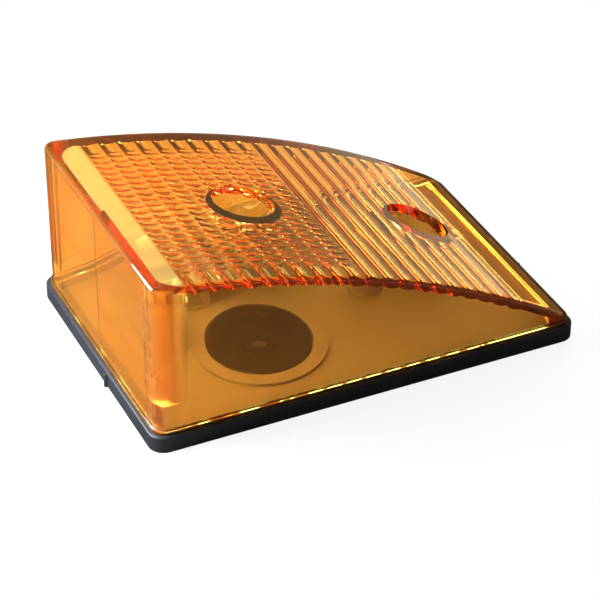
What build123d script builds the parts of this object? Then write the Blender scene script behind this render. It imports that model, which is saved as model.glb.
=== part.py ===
from build123d import *
import os
from math import asin, cos, degrees, hypot, pi, radians, sin, sqrt, tan

# Amber indicator lamp for a vehicle's flank: a wedge lens on a rubber rim, with a bulb on a bracket inside.
# Millimetres. X runs from the tall end to the low end, Y from front to back, Z up from the mounting face.

# Lens: outline, crown and walls
lens_length = 140.0
lens_width = 92.6
tall_height = 51.1
low_height = 2.0
crown_radius = 301.5
corner_radius = 6.5
edge_round = 1.2
lens_wall = 3.2
flange_reach = 0.8
flange_height = 1.7

# Lens: ribs inside the crown, along the depth, and the cross grooves that make cells of them
rib_pitch = 5.85
rib_sag = 0.7
rib_start = 8.0
rib_end = 127.0
cell_pitch = 3.45
cell_groove_width = 0.9
cell_groove_depth = 0.45
cell_stop = 69.0
cell_margin = 5.0

# Lens: upright ribs inside the back wall
back_rib_pitch = 8.0
back_rib_sag = 0.7
back_rib_start = 9.0
back_rib_stop = 105.0

# Lens: low end of the hollow, and the rebate that the base plate's upstand enters
hollow_low_gap = 2.2
rebate_depth = 1.5
rebate_height = 5.5
rebate_stop = 100.0

# Lens: screw pockets on the centreline
pocket_places = (49.5, 110.5)
pocket_depth = 14.0
pocket_seat_diameter = 11.0
pocket_draft = 16.5
pocket_wall = 2.2
pocket_floor = 2.4
screw_clearance = 0.3

# Lens screws and their seals
screw_diameter = 4.0
screw_head_diameter = 8.0
screw_head_height = 2.6
screw_slot_width = 1.1
screw_slot_depth = 1.3
screw_reach = 7.0
seal_thickness = 1.0
seal_diameter = 9.0

# Rubber rim between lens, base plate and vehicle
rim_height = 5.3
rim_lip = 1.1
rim_corner = 8.0
rim_round = 0.7
rim_foot_height = 1.0
rim_foot_reach = 9.0
rim_side = 2.4
rim_cover = 3.4
nib_radius = 0.9

# Base plate
plate_thickness = 1.8
upstand_wall = 1.1
fit_gap = 0.3
press_gap = 0.05
boss_wall = 2.2

# Threaded inserts: one for the low lens screw, two for the mounting screws
insert_wall = 1.3
lens_insert_length = 4.0
mount_spacing = 70.0
mount_centre = 55.0
mount_hole_diameter = 4.2
mount_insert_length = 7.0
mount_boss_cap = 1.5

# Cable grommet in the floor
grommet_place = 48.0
grommet_offset = 11.5
grommet_hole_diameter = 38.0
grommet_flange_diameter = 42.0
grommet_flange_height = 0.9
grommet_well_diameter = 32.0
grommet_foot_height = 0.6
grommet_membrane = 1.0
grommet_bevel = 0.4
cable_hole_diameter = 6.0
cable_collar_wall = 2.0
cable_collar_length = 2.0

# Bulb bracket of folded steel
bracket_place = 41.0
sheet = 1.5
bracket_width = 24.0
bracket_foot = 13.0
bracket_tab_width = 16.0
bracket_arm_height = 7.0
rivet_diameter = 3.0
rivet_head_diameter = 5.5
rivet_head_height = 1.2
rivet_spacing = 12.0

# Clinch nut under the bracket's tab
nut_diameter = 8.0
nut_height = 4.0
nut_collar_diameter = 6.0

# Bayonet holder
holder_offset = 21.5
holder_height = 19.0
shell_diameter = 16.4
shell_wall = 0.5
shell_length = 20.0
shell_flange_diameter = 21.0
shell_flange = 0.8
bayonet_slot_width = 2.5
bayonet_slot_length = 7.0
bayonet_turn = 16.0
bush_diameter = 7.0
bush_flange_diameter = 10.0
bush_flange = 0.8
bush_tail = 1.4
disc_thickness = 1.4
pin_head_diameter = 6.0
pin_head = 1.4
pin_diameter = 2.4
blade_width = 6.3
blade_thickness = 0.8
blade_length = 4.0
spring_wire = 0.8
spring_diameter = 11.0
spring_turns = 3
spring_sides = 10

# Bulb
cap_gap = 0.2
cap_wall = 0.4
cap_depth = 10.0
cap_rim = 2.5
bayonet_pin_diameter = 2.0
bayonet_pin_reach = 1.3
bulb_seal = 1.5
bulb_contact_diameter = 4.8
bulb_contact_height = 1.4
glass_diameter = 25.0
glass_wall = 0.6
glass_shoulder = 14.0
glass_straight = 8.0
glass_neck_depth = 4.0
stem_diameter = 5.0
stem_length = 6.0
post_diameter = 0.7
post_length = 8.0
post_spacing = 3.6
coil_diameter = 1.2

# Places that follow from the sizes above
tall_end = -lens_length / 2
tall_face = tall_end + flange_reach
low_face = lens_length / 2 - flange_reach
lens_seat = rim_height
plate_bottom = rim_foot_height
floor = plate_bottom + plate_thickness
wall_length = lens_length - 2 * flange_reach
wall_width = lens_width - 2 * flange_reach
rim_length = lens_length + 2 * rim_lip
rim_width = lens_width + 2 * rim_lip


def from_tall_end(distance):
    """X of a place that is measured from the lens's tall end."""
    return tall_end + distance


def crown_centre():
    """Centre of the crown's arc, from its two ends and its radius."""
    rise = low_height - tall_height
    run = low_face - tall_face
    chord = hypot(run, rise)
    drop = sqrt(crown_radius**2 - (chord / 2) ** 2)
    middle_x = (tall_face + low_face) / 2
    middle_z = lens_seat + (tall_height + low_height) / 2
    return middle_x + drop * rise / chord, middle_z - drop * run / chord


crown_x, crown_z = crown_centre()
inner_radius = crown_radius - lens_wall


def height_on(radius, x):
    """Height of an arc about the crown's centre, at x."""
    return crown_z + sqrt(radius**2 - (x - crown_x) ** 2)


def angle_on(radius, x):
    """Angle from the vertical, about the crown's centre, of the arc's point at x."""
    return asin((x - crown_x) / radius)


def point_on(radius, angle):
    """Point of an arc about the crown's centre, at an angle from the vertical."""
    return crown_x + radius * sin(angle), crown_z + radius * cos(angle)


def arc_between(radius, angle_from, angle_to, bulge=0.0):
    """Arc about the crown's centre, or a rib's bow that stands in from it by bulge."""
    middle = point_on(radius - bulge, (angle_from + angle_to) / 2)
    return ThreePointArc(point_on(radius, angle_from), middle, point_on(radius, angle_to))


def slab(length, width, radius, bottom, top):
    """Upright block with rounded corners, centred on the lamp."""
    return extrude(Plane.XY.offset(bottom) * RectangleRounded(length, width, radius), top - bottom)


def post(x, y, bottom, top, diameter):
    """Upright round bar."""
    return Pos(x, y, bottom) * extrude(Circle(diameter / 2), top - bottom)


def turned(points, place):
    """Solid turned about an axis along X that starts at place, from an outline of (along, radius) points."""
    outline = make_face(Polyline(*points, close=True))
    return Pos(*place) * revolve(outline, Axis.X)


# Heights where the lens screws bear, one for each pocket
pocket_x = [from_tall_end(place) for place in pocket_places]
seat_z = [height_on(crown_radius, x) - pocket_depth for x in pocket_x]
pocket_foot_z = [z - pocket_floor for z in seat_z]
tab_top = pocket_foot_z[0]
lens_boss_top = pocket_foot_z[1]


def lens_outside():
    """Lens as a full block: walls under the crown, with the crown's edge rounded."""
    tall_angle = angle_on(crown_radius, tall_face)
    low_angle = angle_on(crown_radius, low_face)
    side = make_face(
        arc_between(crown_radius, tall_angle, low_angle)
        + Polyline(
            (low_face, lens_seat + low_height),
            (low_face, lens_seat),
            (tall_face, lens_seat),
            (tall_face, lens_seat + tall_height),
        )
    )
    block = extrude(Plane.XZ * side, wall_width / 2, both=True)
    block &= slab(wall_length, wall_width, corner_radius, lens_seat, lens_seat + tall_height)
    crown = block.faces().filter_by(GeomType.CYLINDER).sort_by(SortBy.AREA)[-1]
    return fillet(crown.edges(), edge_round)


rib_step = rib_pitch / inner_radius
first_rib = angle_on(inner_radius, from_tall_end(rib_start))


def ribs_up_to(distance):
    """How many whole ribs fit between the first one and a distance from the tall end."""
    return int((angle_on(inner_radius, from_tall_end(distance)) - first_rib) / rib_step)


def ribbed_hollow_side():
    """Side view of the hollow: its roof follows the crown in a row of bowed ribs."""
    start = tall_face + lens_wall
    roof_low = lens_seat + hollow_low_gap
    end = crown_x + sqrt(inner_radius**2 - (roof_low - crown_z) ** 2)
    count = ribs_up_to(rib_end)
    roof = [arc_between(inner_radius, angle_on(inner_radius, start), first_rib)]
    for rib in range(count):
        rib_from = first_rib + rib * rib_step
        roof.append(arc_between(inner_radius, rib_from, rib_from + rib_step, rib_sag))
    roof.append(arc_between(inner_radius, first_rib + count * rib_step, angle_on(inner_radius, end)))
    under = lens_seat - flange_height
    walls = Polyline((end, roof_low), (end, under), (start, under), (start, height_on(inner_radius, start)))
    return make_face(Curve() + roof + walls)


def hollow_plan():
    """Plan of the hollow, with the back wall's upright ribs standing into it."""
    plan = RectangleRounded(wall_length - 2 * lens_wall, wall_width - 2 * lens_wall, corner_radius - lens_wall / 2)
    bow = ((back_rib_pitch / 2) ** 2 + back_rib_sag**2) / (2 * back_rib_sag)
    back = wall_width / 2 - lens_wall
    count = int((back_rib_stop - back_rib_start) / back_rib_pitch)
    ribs = [
        Pos(from_tall_end(back_rib_start + (rib + 0.5) * back_rib_pitch), back + bow - back_rib_sag) * Circle(bow)
        for rib in range(count)
    ]
    return plan - ribs


def cell_grooves():
    """Cross grooves over the ribs of the tall half, which divide each rib into cells."""
    crest = inner_radius - rib_sag
    half = cell_groove_width / 2
    radial = Vector(sin(first_rib), 0, cos(first_rib))
    depthwise = Vector(0, 1, 0)
    plane = Plane(origin=(crown_x, 0, crown_z), x_dir=radial, z_dir=radial.cross(depthwise))
    axis = Axis((crown_x, 0, crown_z), depthwise)
    turn = degrees(ribs_up_to(cell_stop) * rib_step)
    reach = wall_width / 2 - lens_wall - cell_margin
    count = int(2 * reach / cell_pitch) + 1
    grooves = []
    for groove in range(count):
        y = (groove - (count - 1) / 2) * cell_pitch
        notch = Polyline((crest - half, y - half), (crest - half, y + half), (crest + cell_groove_depth, y), close=True)
        grooves.append(revolve(plane * make_face(notch), axis, turn))
    return grooves


def lens_hollow():
    """Space inside the lens, open below."""
    along = extrude(Plane.XZ * ribbed_hollow_side(), wall_width / 2, both=True)
    upright = extrude(Plane.XY * hollow_plan(), lens_seat + tall_height)
    return (along + cell_grooves()) & upright


def lens_rebate():
    """Recess inside the lens's foot for the base plate's upstand."""
    inset = 2 * (lens_wall - rebate_depth)
    recess = slab(wall_length - inset, wall_width - inset, corner_radius - inset / 2, lens_seat, lens_seat + rebate_height)
    return recess & behind(rebate_stop)


def behind(distance):
    """Tall block over everything from the tall end to a distance from it."""
    length = distance + rim_length
    height = 2 * (lens_seat + tall_height)
    return Pos(from_tall_end(distance) - length / 2, 0, 0) * Box(length, 2 * rim_width, height)


def pocket_cone(x, bottom, diameter, top):
    """Tapered plug on a pocket's axis, from its foot up."""
    height = top - bottom
    spread = height * tan(radians(pocket_draft))
    return Pos(x, 0, bottom + height / 2) * Cone(diameter / 2, diameter / 2 + spread, height)


def make_lens():
    """Amber lens: walls, ribbed crown, foot flange and two tapered screw pockets."""
    outside = lens_outside()
    top = lens_seat + tall_height
    lens = outside - lens_hollow() - lens_rebate()
    tube_diameter = pocket_seat_diameter + 2 * pocket_wall
    for x, foot in zip(pocket_x, pocket_foot_z):
        lens += pocket_cone(x, foot, tube_diameter, top) & outside
    for x, seat in zip(pocket_x, seat_z):
        lens -= pocket_cone(x, seat, pocket_seat_diameter, top)
        lens -= post(x, 0, seat - 2 * pocket_floor, seat, screw_diameter + 2 * screw_clearance)
    flange = slab(lens_length, lens_width, corner_radius + flange_reach, lens_seat, lens_seat + flange_height)
    inside = slab(wall_length - lens_wall, wall_width - lens_wall, corner_radius - lens_wall / 2, lens_seat, top)
    return lens + (flange - inside)


def make_lens_screws():
    """Pan-head screws that hold the lens, with a driving slot across each head."""
    screws = []
    for x, seat in zip(pocket_x, seat_z):
        under_head = seat + seal_thickness
        head_top = under_head + screw_head_height
        head = post(x, 0, under_head, head_top, screw_head_diameter)
        head = chamfer(head.edges().group_by(Axis.Z)[-1], screw_head_height / 3)
        slot = Pos(x, 0, head_top - screw_slot_depth / 2) * Box(screw_head_diameter, screw_slot_width, screw_slot_depth)
        shank = post(x, 0, seat - pocket_floor - screw_reach, under_head, screw_diameter)
        screws.append(head - slot + shank)
    return screws


def make_screw_seals():
    """Rubber washers under the lens screws."""
    hole = screw_diameter + screw_clearance
    return [
        post(x, 0, seat, seat + seal_thickness, seal_diameter) - post(x, 0, seat, seat + seal_thickness, hole)
        for x, seat in zip(pocket_x, seat_z)
    ]


def make_rim_gasket():
    """Black rubber rim: a channel round the base plate's edge that lens and vehicle both bear on."""
    rim = slab(rim_length, rim_width, rim_corner, 0, rim_height)
    rim = fillet(rim.edges().group_by(Axis.Z)[-1], rim_round)
    for side in (-1, 1):
        rim += post(side * rim_length / 2, 0, 0, rim_height - rim_round, 2 * nib_radius)
    layers = [
        (rim_foot_reach, 0, plate_bottom),
        (rim_side, plate_bottom, floor),
        (rim_cover, floor, rim_height),
    ]
    for reach, bottom, top in layers:
        radius = max(rim_corner - reach, rim_corner / 4)
        rim -= slab(rim_length - 2 * reach, rim_width - 2 * reach, radius, bottom, top)
    return rim


def mount_places():
    """X of the two mounting screws."""
    middle = from_tall_end(mount_centre)
    return [middle - mount_spacing / 2, middle + mount_spacing / 2]


mount_insert_diameter = mount_hole_diameter + 2 * insert_wall
lens_insert_diameter = screw_diameter + 2 * insert_wall


def make_base_plate():
    """Pale base plate with the upstand that locates the lens, screw bosses and the holes in its floor."""
    inset = 2 * (rim_side + press_gap)
    plate = slab(rim_length - inset, rim_width - inset, rim_corner - inset / 2, plate_bottom, floor)
    outer = 2 * (flange_reach + lens_wall - rebate_depth + fit_gap)
    inner = outer + 2 * upstand_wall
    wall_top = lens_seat + rebate_height - fit_gap
    upstand = slab(lens_length - outer, lens_width - outer, corner_radius + flange_reach - outer / 2, floor, wall_top)
    upstand -= slab(lens_length - inner, lens_width - inner, corner_radius + flange_reach - outer / 2, floor, wall_top)
    plate += upstand & behind(rebate_stop - fit_gap)
    low_x = pocket_x[1]
    plate += post(low_x, 0, floor, lens_boss_top, lens_insert_diameter + 2 * boss_wall)
    plate -= post(low_x, 0, plate_bottom, lens_boss_top, lens_insert_diameter + 2 * press_gap)
    insert_top = plate_bottom + mount_insert_length
    for x in mount_places():
        plate += post(x, 0, floor, insert_top + mount_boss_cap, mount_insert_diameter + 2 * boss_wall)
        plate -= post(x, 0, plate_bottom, insert_top, mount_insert_diameter + 2 * press_gap)
    plate -= post(from_tall_end(grommet_place), -grommet_offset, plate_bottom, floor, grommet_hole_diameter)
    for x, y in rivet_places():
        plate -= post(x, y, plate_bottom, floor, rivet_diameter + 2 * press_gap)
    return plate


def make_mounting_inserts():
    """Brass inserts in the base plate that the mounting screws enter from below."""
    top = plate_bottom + mount_insert_length
    return [
        post(x, 0, plate_bottom, top, mount_insert_diameter) - post(x, 0, plate_bottom, top, mount_hole_diameter)
        for x in mount_places()
    ]


def make_lens_insert():
    """Brass insert in the boss under the low screw pocket."""
    x = pocket_x[1]
    hole = screw_diameter + 2 * press_gap
    bottom = lens_boss_top - lens_insert_length
    return post(x, 0, bottom, lens_boss_top, lens_insert_diameter) - post(x, 0, bottom, lens_boss_top, hole)


def make_cable_grommet():
    """Black rubber grommet that closes the wiring hole, with a collared hole for the cable."""
    x = from_tall_end(grommet_place)
    y = -grommet_offset
    top = floor + grommet_flange_height
    foot = plate_bottom - grommet_foot_height
    ring = post(x, y, floor, top, grommet_flange_diameter)
    ring = chamfer(ring.edges().group_by(Axis.Z)[-1], grommet_bevel)
    grommet = ring + post(x, y, plate_bottom, floor, grommet_hole_diameter - 2 * press_gap)
    grommet += post(x, y, foot, plate_bottom, grommet_flange_diameter)
    well = foot + grommet_membrane
    grommet -= post(x, y, well, top, grommet_well_diameter)
    grommet += post(x, y, well, foot + cable_collar_length, cable_hole_diameter + 2 * cable_collar_wall)
    return grommet - post(x, y, foot, top, cable_hole_diameter)


bracket_face = from_tall_end(bracket_place)
holder_axis = (bracket_face, holder_offset, holder_height)


def rivet_places():
    """Centres of the two rivets through the bracket's foot."""
    x = bracket_face - sheet - bracket_foot / 2
    return [(x, holder_offset - rivet_spacing / 2), (x, holder_offset + rivet_spacing / 2)]


def block(x_from, x_to, y_from, y_to, z_from, z_to):
    """Box between two corners."""
    size = (x_to - x_from, y_to - y_from, z_to - z_from)
    middle = ((x_from + x_to) / 2, (y_from + y_to) / 2, (z_from + z_to) / 2)
    return Pos(*middle) * Box(*size)


def make_bulb_bracket():
    """Folded steel bracket: foot, upright with the holder's hole, and a tab under the tall screw pocket."""
    back = bracket_face - sheet
    near = holder_offset - bracket_width / 2
    far = holder_offset + bracket_width / 2
    tab_half = bracket_tab_width / 2
    tab_end = pocket_x[0] + tab_half
    bracket = block(back, bracket_face, near, far, floor, tab_top)
    bracket += block(back - bracket_foot, back, near, far, floor, floor + sheet)
    bracket += block(back, bracket_face, -tab_half, near, tab_top - bracket_arm_height, tab_top)
    bracket += block(bracket_face, tab_end, -tab_half, tab_half, tab_top - sheet, tab_top)
    hole = Rot(0, 90, 0) * extrude(Circle(shell_diameter / 2 + press_gap), 2 * sheet)
    bracket -= Pos(back - sheet / 2, holder_offset, holder_height) * hole
    bracket -= post(pocket_x[0], 0, tab_top - sheet, tab_top, nut_collar_diameter + 2 * press_gap)
    for x, y in rivet_places():
        bracket -= post(x, y, floor, floor + sheet, rivet_diameter + 2 * press_gap)
    return bracket


def make_bracket_rivets():
    """Rivets that hold the bracket's foot to the base plate, flush below."""
    rivets = []
    for x, y in rivet_places():
        head = post(x, y, floor + sheet, floor + sheet + rivet_head_height, rivet_head_diameter)
        head = chamfer(head.edges().group_by(Axis.Z)[-1], rivet_head_height / 2)
        rivets.append(head + post(x, y, plate_bottom, floor + sheet, rivet_diameter))
    return rivets


def make_clinch_nut():
    """Nut pressed into the bracket's tab for the tall screw."""
    x = pocket_x[0]
    under = tab_top - sheet
    nut = post(x, 0, under - nut_height, under, nut_diameter) + post(x, 0, under, tab_top, nut_collar_diameter)
    return nut - post(x, 0, under - nut_height, tab_top, screw_diameter + 2 * press_gap)


def make_holder_shell():
    """Bayonet shell: flanged tube with an end wall and two hooked slots."""
    outer = shell_diameter / 2
    inner = outer - shell_wall
    hole = bush_diameter / 2 + press_gap
    shell = turned(
        [
            (-shell_length, hole),
            (-shell_length, outer),
            (0, outer),
            (0, shell_flange_diameter / 2),
            (shell_flange, shell_flange_diameter / 2),
            (shell_flange, inner),
            (-shell_length + shell_wall, inner),
            (-shell_length + shell_wall, hole),
        ],
        holder_axis,
    )
    leg = block(-bayonet_slot_length, shell_flange, -bayonet_slot_width / 2, bayonet_slot_width / 2, 0, outer)
    hook = block(
        -bayonet_slot_length, -bayonet_slot_length + bayonet_slot_width,
        -bayonet_slot_width / 2, bayonet_slot_width / 2, 0, outer,
    )
    for half_turn in (0, 180):
        shell -= Pos(*holder_axis) * Rot(half_turn, 0, 0) * leg
        shell -= Pos(*holder_axis) * Rot(half_turn + bayonet_turn, 0, 0) * hook
    return shell


# Places along the holder's axis, measured from the bracket's face
bulb_end = -cap_depth - bulb_contact_height
pin_shoulder = bulb_end - pin_head
disc_back = pin_shoulder - disc_thickness
shell_floor = -shell_length + shell_wall
bush_front = shell_floor + bush_flange
cap_radius = shell_diameter / 2 - shell_wall - cap_gap


def make_holder_disc():
    """Insulating disc that slides in the shell and carries the contact pin."""
    outer = cap_radius
    inner = pin_diameter / 2 + press_gap
    points = [(disc_back, inner), (disc_back, outer), (pin_shoulder, outer), (pin_shoulder, inner)]
    return turned(points, holder_axis)


def make_rear_bush():
    """Insulating bush in the shell's end wall."""
    hole = pin_diameter / 2 + press_gap
    tail = -shell_length - bush_tail
    points = [
        (tail, hole),
        (tail, bush_diameter / 2),
        (shell_floor, bush_diameter / 2),
        (shell_floor, bush_flange_diameter / 2),
        (bush_front, bush_flange_diameter / 2),
        (bush_front, hole),
    ]
    return turned(points, holder_axis)


def make_contact_spring():
    """Coil spring that presses the disc towards the bulb, round the bush's flange, in straight lengths."""
    radius = (spring_diameter + spring_wire) / 2
    start = shell_floor + spring_wire
    height = disc_back - spring_wire - start
    bends = spring_turns * spring_sides
    corners = []
    for bend in range(bends + 1):
        turn = 2 * pi * bend / spring_sides
        corners.append((start + height * bend / bends, radius * cos(turn), radius * sin(turn)))
    path = Polyline(*corners)
    section = Plane(origin=path @ 0, z_dir=path % 0) * Rectangle(spring_wire, spring_wire)
    return Pos(*holder_axis) * sweep(section, path=path, transition=Transition.RIGHT)


def make_contact_pin():
    """Brass pin: head against the bulb, stem through disc and bush, blade for the live lead."""
    stem_end = -shell_length - bush_tail
    stem = pin_diameter / 2
    points = [
        (stem_end, 0),
        (stem_end, stem),
        (pin_shoulder, stem),
        (pin_shoulder, pin_head_diameter / 2),
        (bulb_end, pin_head_diameter / 2),
        (bulb_end, 0),
    ]
    blade = block(
        stem_end - blade_length, stem_end, -blade_width / 2, blade_width / 2, -blade_thickness / 2, blade_thickness / 2
    )
    return turned(points, holder_axis) + Pos(*holder_axis) * blade


def make_bulb_cap():
    """Brass bulb cap with its two bayonet pins."""
    inner = cap_radius - cap_wall
    points = [(-cap_depth, inner), (-cap_depth, cap_radius), (cap_rim, cap_radius), (cap_rim, inner)]
    cap = turned(points, holder_axis)
    along = -bayonet_slot_length + bayonet_slot_width / 2
    pin = Pos(along, 0, inner) * extrude(Circle(bayonet_pin_diameter / 2), cap_wall + bayonet_pin_reach)
    for half_turn in (0, 180):
        cap += Pos(*holder_axis) * Rot(half_turn + bayonet_turn, 0, 0) * pin
    return cap - turned([(-cap_depth, 0), (-cap_depth, inner), (cap_rim, inner), (cap_rim, 0)], holder_axis)


def make_bulb_seal():
    """Black glass plug in the cap's end."""
    plug = cap_radius - cap_wall - press_gap
    points = [(-cap_depth, 0), (-cap_depth, plug), (-cap_depth + bulb_seal, plug), (-cap_depth + bulb_seal, 0)]
    return turned(points, holder_axis)


def make_bulb_contact():
    """Solder contact on the cap's end."""
    half = bulb_contact_diameter / 2
    contact = turned([(bulb_end, 0), (bulb_end, half), (-cap_depth, half), (-cap_depth, 0)], holder_axis)
    return chamfer(contact.edges().group_by(Axis.X)[0], bulb_contact_height / 2)


def glass_outline(offset, neck_from):
    """Half outline of the bulb's glass, moved in by offset from the outside."""
    neck = cap_radius - cap_wall - press_gap - offset
    belly = glass_diameter / 2 - offset
    shoulder = cap_rim + glass_shoulder
    dome = shoulder + glass_straight
    swell = Spline((cap_rim, neck), (shoulder, belly), tangents=[(1, 0.4), (1, 0)])
    tip = ThreePointArc((dome, belly), (dome + belly * sin(pi / 4), belly * cos(pi / 4)), (dome + belly, 0))
    body = Line((shoulder, belly), (dome, belly))
    back = Polyline((dome + belly, 0), (neck_from, 0), (neck_from, neck), (cap_rim, neck))
    return make_face(Curve() + [swell, body, tip, back])


def make_bulb_glass():
    """Clear bulb: hollow envelope on a solid neck, with the stem that carries the filament."""
    outside = revolve(glass_outline(0, cap_rim - glass_neck_depth), Axis.X)
    inside = revolve(glass_outline(glass_wall, cap_rim - glass_wall), Axis.X)
    stem_end = cap_rim + stem_length
    half = stem_diameter / 2
    stem_from = cap_rim - glass_neck_depth
    stem = turned([(stem_from, 0), (stem_from, half), (stem_end, half), (stem_end, 0)], (0, 0, 0))
    return Pos(*holder_axis) * (outside - inside + stem)


def make_bulb_filament():
    """Tungsten coil between two support posts."""
    start = cap_rim + stem_length
    half = post_spacing / 2
    radius = post_diameter / 2
    bar = turned([(start, 0), (start, radius), (start + post_length, radius), (start + post_length, 0)], (0, 0, 0))
    coil = extrude(Circle(coil_diameter / 2), half + radius, both=True)
    coil = Pos(start + post_length - radius, 0, 0) * Rot(90, 0, 0) * coil
    return Pos(*holder_axis) * (Pos(0, -half, 0) * bar + Pos(0, half, 0) * bar + coil)


PIECES = {
    "lens": make_lens,
    "lens_screws": make_lens_screws,
    "screw_seals": make_screw_seals,
    "rim_gasket": make_rim_gasket,
    "base_plate": make_base_plate,
    "mounting_inserts": make_mounting_inserts,
    "lens_insert": make_lens_insert,
    "cable_grommet": make_cable_grommet,
    "bulb_bracket": make_bulb_bracket,
    "bracket_rivets": make_bracket_rivets,
    "clinch_nut": make_clinch_nut,
    "holder_shell": make_holder_shell,
    "holder_disc": make_holder_disc,
    "rear_bush": make_rear_bush,
    "contact_spring": make_contact_spring,
    "contact_pin": make_contact_pin,
    "bulb_cap": make_bulb_cap,
    "bulb_seal": make_bulb_seal,
    "bulb_contact": make_bulb_contact,
    "bulb_glass": make_bulb_glass,
    "bulb_filament": make_bulb_filament,
}


def main():
    """Write one STEP file for each piece."""
    os.makedirs("parts", exist_ok=True)
    for name, make in PIECES.items():
        shape = make()
        if isinstance(shape, list):
            shape = Compound(children=shape)
        export_step(shape, f"parts/{name}.step")


if __name__ == "__main__":
    main()
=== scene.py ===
from math import asin, ceil, cos, pi, radians, sin, sqrt, tan

import bmesh
import bpy
from mathutils import Matrix, Vector
from mathutils.geometry import delaunay_2d_cdt


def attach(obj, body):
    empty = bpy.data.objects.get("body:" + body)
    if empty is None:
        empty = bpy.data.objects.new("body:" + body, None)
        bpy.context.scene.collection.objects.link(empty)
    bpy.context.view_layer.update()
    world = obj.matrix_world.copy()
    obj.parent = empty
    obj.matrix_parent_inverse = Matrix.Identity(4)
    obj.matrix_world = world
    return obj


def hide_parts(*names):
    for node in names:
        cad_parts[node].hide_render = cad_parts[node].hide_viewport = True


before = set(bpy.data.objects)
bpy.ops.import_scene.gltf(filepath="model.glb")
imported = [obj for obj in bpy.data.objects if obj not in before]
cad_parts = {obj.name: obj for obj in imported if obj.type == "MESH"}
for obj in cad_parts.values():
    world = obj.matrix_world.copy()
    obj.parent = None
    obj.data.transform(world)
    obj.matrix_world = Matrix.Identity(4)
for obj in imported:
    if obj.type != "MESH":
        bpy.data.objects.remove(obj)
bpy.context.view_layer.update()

# Amber indicator lamp: lens, rim, tray and grommet are made here in place of the CAD's solids,
# and every other CAD piece gets its finish.
# Sizes are metres in the CAD's frame: X from the tall end to the low end, Y from front to back, Z up.

bl_info = {
    "name": "Indicator lamp",
    "version": (1, 0, 0),
    "blender": (4, 5, 0),
    "location": "View3D > Sidebar > Lamp",
    "description": "Dresses a wedge-shaped amber indicator lamp and its studio stage",
    "category": "Object",
}

MM = 0.001
WHITE = (1.0, 1.0, 1.0)
SHARP_DEGREES = 28
FINE_GRAIN = 12
FINE_DETAIL = 2.0
GRAIN_DEPTH = 0.1 * MM
GLOSS = 0.005
GLOSS_SPREAD = 0.03
GLOSS_SCALE = 60.0
RIPPLE = 0.02
RIPPLE_SCALE = 180.0
RIPPLE_DEPTH = 0.2 * MM
HAZE_ROUGHNESS = 0.3
FROST_END = -58.8 * MM
FROST_SIDE = -37.0 * MM
FROST_TOP = 48.5 * MM
BULB_IOR = 1.47
BULB_GLOSS = 0.01
BULB_SPREAD = 0.02
BULB_SCALE = 120.0
SOFTBOXES = {
    "side_power": dict(
        name="side_softbox", place=(-0.15, 0.02, 0.09), target=(-0.05, 0.0, 0.01), size=0.10, mirrored=True
    ),
    "top_power": dict(name="top_softbox", place=(-0.10, 0.25, 0.80), size=0.50),
    "back_power": dict(name="rim_light", place=(0.50, 0.90, 0.72), size=0.35, rgb=(0.35, 0.62, 1.0)),
    "low_power": dict(name="low_softbox", place=(0.17, 0.13, 0.07), target=(0.04, 0.02, 0.01), size=0.08),
}


def short(kind, scale=1, **fixed):
    """Short form of a kind of property: its name, its description and its default in a unit."""

    def make(name, description, default):
        return kind(name=name, description=description, default=default * scale, **fixed)

    return make


length = short(bpy.props.FloatProperty, scale=MM, unit="LENGTH", precision=5)
angle = short(bpy.props.FloatProperty, scale=radians(1), subtype="ANGLE")
number = short(bpy.props.FloatProperty)
colour = short(bpy.props.FloatVectorProperty, size=3, subtype="COLOR", min=0.0, max=1.0)
spot = short(bpy.props.FloatVectorProperty, size=3, subtype="TRANSLATION")


class LensSettings(bpy.types.PropertyGroup):
    """Outline, walls and screw pockets of the lens."""

    length: length("Length", "Length over the foot flange", 140.0)
    width: length("Width", "Width over the foot flange", 92.6)
    seat: length("Seat", "Height of the lens's foot above the mounting face", 5.3)
    tall: length("Tall end", "Height of the crown at the tall end, above the seat", 51.1)
    low: length("Low end", "Height of the crown at the low end, above the seat", 2.0)
    crown: length("Crown radius", "Radius of the crown's arc", 301.5)
    corner: length("Corner radius", "Radius of the upright corners", 4.2)
    edge: length("Edge round", "Rounding between crown and walls", 1.4)
    wall: length("Wall", "Wall thickness", 3.2)
    flange_reach: length("Flange reach", "How far the foot flange stands out", 0.8)
    flange_height: length("Flange height", "Thickness of the foot flange", 1.7)
    inner_corner: length("Inner corner", "Radius of the hollow's corners at the tall end", 8.0)
    tall_pocket: length("Tall pocket", "Place of the tall screw pocket, from the tall end", 49.5)
    low_pocket: length("Low pocket", "Place of the low screw pocket, from the tall end", 110.5)
    pocket_depth: length("Pocket depth", "Depth of a pocket on its axis", 14.0)
    pocket_seat: length("Pocket seat", "Diameter of a pocket at its seat", 11.0)
    pocket_draft: angle("Pocket draft", "Taper of a pocket's wall", 16.5)
    pocket_wall: length("Pocket wall", "Wall of a pocket's tube", 2.2)
    pocket_floor: length("Pocket floor", "Thickness under a pocket's seat", 2.4)
    screw_hole: length("Screw hole", "Diameter of the screw holes", 4.6)


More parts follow.
